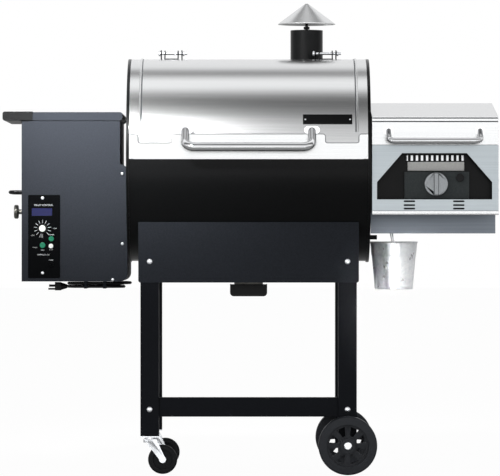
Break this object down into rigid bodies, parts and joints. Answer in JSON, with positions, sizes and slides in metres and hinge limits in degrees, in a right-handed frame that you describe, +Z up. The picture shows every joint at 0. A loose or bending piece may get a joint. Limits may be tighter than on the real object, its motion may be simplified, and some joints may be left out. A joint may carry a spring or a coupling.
{
  "type": "pellet smoker grill",
  "caption": "Barrel pellet smoker grill with a hinged steel lid, a pellet hopper at the left and a gas sear box at the right, on a wheeled frame.",
  "frame": {"origin": "centre of the footprint of the whole grill without its cord, on the floor", "axes": "+X to the right as the cook faces it, along the barrel; +Y to the back; +Z up"},
  "size_m": [1.301, 0.6297, 1.245],
  "materials": {
    "black_powder_coat": "semi-gloss black powder coat on steel",
    "slate_powder_coat": "satin dark slate powder coat on steel",
    "brushed_stainless": "brushed 430 stainless steel, grain along X",
    "panel_stainless": "brushed stainless steel box panels",
    "polished_stainless": "polished stainless tube",
    "zinc_plate": "bright zinc plating",
    "galvanised_steel": "galvanised steel sheet",
    "black_plastic": "moulded black plastic",
    "green_plastic": "green push button",
    "white_plastic": "white push button",
    "display_glass": "dark blue display window",
    "cast_iron": "enamelled cast iron",
    "steel": "plain steel",
    "cord_rubber": "black cord jacket"
  },
  "bodies": {
    "grill": {"barrel_body": "black_powder_coat", "end_caps": "black_powder_coat", "hinge_brackets": "black_powder_coat", "chimney_pipe": "black_powder_coat", "grates": "cast_iron", "drip_tray": "steel", "fire_pot": "steel", "auger_tube": "steel", "drive_motors": "zinc_plate", "legs": "black_powder_coat", "fasteners": "zinc_plate", "aprons": "slate_powder_coat", "frame_rails": "black_powder_coat", "wheel_axle": "zinc_plate", "caster_plates": "zinc_plate", "hopper_housing": "slate_powder_coat", "pellet_bin": "steel", "control_panel": "black_powder_coat", "display_window": "display_glass", "side_handle": "black_powder_coat", "sear_body": "panel_stainless", "sear_front_panel": "panel_stainless", "sear_firewall": "black_powder_coat", "gas_panel": "slate_powder_coat", "sear_burner": "steel", "sear_grate": "cast_iron", "sear_skirt": "panel_stainless", "gas_inlet": "zinc_plate", "drain_spout": "black_powder_coat", "cord_lead": "cord_rubber", "cord_hank": "cord_rubber", "cord_gland": "black_plastic", "cord_plug": "cord_rubber"},
    "main_lid": {"lid_shell": "brushed_stainless", "lid_skirt": "brushed_stainless", "lid_fittings": "black_powder_coat", "lid_handle": "polished_stainless"},
    "stack_cap": {"chimney_cap": "brushed_stainless"},
    "auger": {"auger_screw": "steel"},
    "blower": {"blower_wheel": "zinc_plate"},
    "cup": {"ash_cup": "black_powder_coat"},
    "gate": {"ash_gate": "steel"},
    "front_wheel": {"wheel_front": "black_plastic"},
    "rear_wheel": {"wheel_rear": "black_plastic"},
    "front_fork": {"caster_fork_front": "zinc_plate"},
    "rear_fork": {"caster_fork_rear": "zinc_plate"},
    "front_caster": {"caster_wheel_front": "black_plastic"},
    "rear_caster": {"caster_wheel_rear": "black_plastic"},
    "pellet_lid": {"hopper_lid": "slate_powder_coat", "hopper_lid_grip": "black_plastic"},
    "dial": {"control_dial": "black_plastic"},
    "power_button": {"button_power": "green_plastic"},
    "feed_button": {"button_feed": "green_plastic"},
    "mode_button": {"button_mode": "white_plastic"},
    "burner_knob": {"gas_knob": "polished_stainless"},
    "igniter_button": {"spark_button": "black_plastic"},
    "box_lid": {"sear_lid": "brushed_stainless", "sear_handle": "polished_stainless"},
    "pail": {"bucket": "galvanised_steel"},
    "bail": {"bucket_bail": "zinc_plate"}
  },
  "joints": [
    {"name": "main_lid_hinge", "type": "hinge", "parent": "grill", "child": "main_lid", "pos_m": [-0.0055, 0.0725, 1.106], "axis": [-1, 0, 0], "range_deg": [0, 112]},
    {"name": "hopper_lid_hinge", "type": "hinge", "parent": "grill", "child": "pellet_lid", "pos_m": [-0.344, 0.0325, 0.931], "axis": [0, 1, 0], "range_deg": [0, 90]},
    {"name": "sear_lid_hinge", "type": "hinge", "parent": "grill", "child": "box_lid", "pos_m": [0.3945, 0.2075, 0.8565], "axis": [-1, 0, 0], "range_deg": [0, 95]},
    {"name": "stack_cap_height", "type": "slide", "parent": "grill", "child": "stack_cap", "axis": [0, 0, 1], "range_m": [-0.008, 0.014]},
    {"name": "auger_spin", "type": "hinge", "parent": "grill", "child": "auger", "pos_m": [-0.2055, 0.0325, 0.62], "axis": [1, 0, 0], "continuous": true},
    {"name": "blower_spin", "type": "hinge", "parent": "grill", "child": "blower", "pos_m": [-0.4125, 0.0925, 0.547], "axis": [0, 1, 0], "continuous": true},
    {"name": "ash_cup_slide", "type": "slide", "parent": "grill", "child": "cup", "axis": [0, -1, 0], "range_m": [0, 0.105]},
    {"name": "ash_gate_pull", "type": "slide", "parent": "grill", "child": "gate", "axis": [-1, 0, 0], "range_m": [0, 0.072]},
    {"name": "front_wheel_spin", "type": "hinge", "parent": "grill", "child": "front_wheel", "pos_m": [0.252, -0.1975, 0.0762], "axis": [0, 1, 0], "continuous": true},
    {"name": "rear_wheel_spin", "type": "hinge", "parent": "grill", "child": "rear_wheel", "pos_m": [0.252, 0.2625, 0.0762], "axis": [0, 1, 0], "continuous": true},
    {"name": "front_caster_swivel", "type": "hinge", "parent": "grill", "child": "front_fork", "pos_m": [-0.263, -0.1535, 0.076], "axis": [0, 0, 1], "continuous": true},
    {"name": "rear_caster_swivel", "type": "hinge", "parent": "grill", "child": "rear_fork", "pos_m": [-0.263, 0.2185, 0.076], "axis": [0, 0, 1], "continuous": true},
    {"name": "front_caster_spin", "type": "hinge", "parent": "front_fork", "child": "front_caster", "pos_m": [-0.2295, -0.1535, 0.038], "axis": [0, 1, 0], "continuous": true},
    {"name": "rear_caster_spin", "type": "hinge", "parent": "rear_fork", "child": "rear_caster", "pos_m": [-0.2295, 0.2185, 0.038], "axis": [0, 1, 0], "continuous": true},
    {"name": "control_dial_turn", "type": "hinge", "parent": "grill", "child": "dial", "pos_m": [-0.5455, -0.0995, 0.64], "axis": [0, -1, 0], "range_deg": [0, 300]},
    {"name": "gas_knob_turn", "type": "hinge", "parent": "grill", "child": "burner_knob", "pos_m": [0.4815, -0.1955, 0.755], "axis": [0, -1, 0], "range_deg": [0, 180]},
    {"name": "spark_button_press", "type": "slide", "parent": "grill", "child": "igniter_button", "axis": [0, 1, 0], "range_m": [0, 0.004], "stiffness_N_per_m": 600},
    {"name": "bucket_lift", "type": "slide", "parent": "grill", "child": "pail", "axis": [0, 0, 1], "range_m": [0, 0.004]},
    {"name": "bail_swing", "type": "hinge", "parent": "pail", "child": "bail", "pos_m": [0.3795, 0.0325, 0.598], "axis": [0, 1, 0], "range_deg": [0, 90]},
    {"name": "power_button_press", "type": "slide", "parent": "grill", "child": "power_button", "axis": [0, 1, 0], "range_m": [0, 0.0015], "stiffness_N_per_m": 400},
    {"name": "feed_button_press", "type": "slide", "parent": "grill", "child": "feed_button", "axis": [0, 1, 0], "range_m": [0, 0.0015], "stiffness_N_per_m": 400},
    {"name": "mode_button_press", "type": "slide", "parent": "grill", "child": "mode_button", "axis": [0, 1, 0], "range_m": [0, 0.0015], "stiffness_N_per_m": 400}
  ]
}
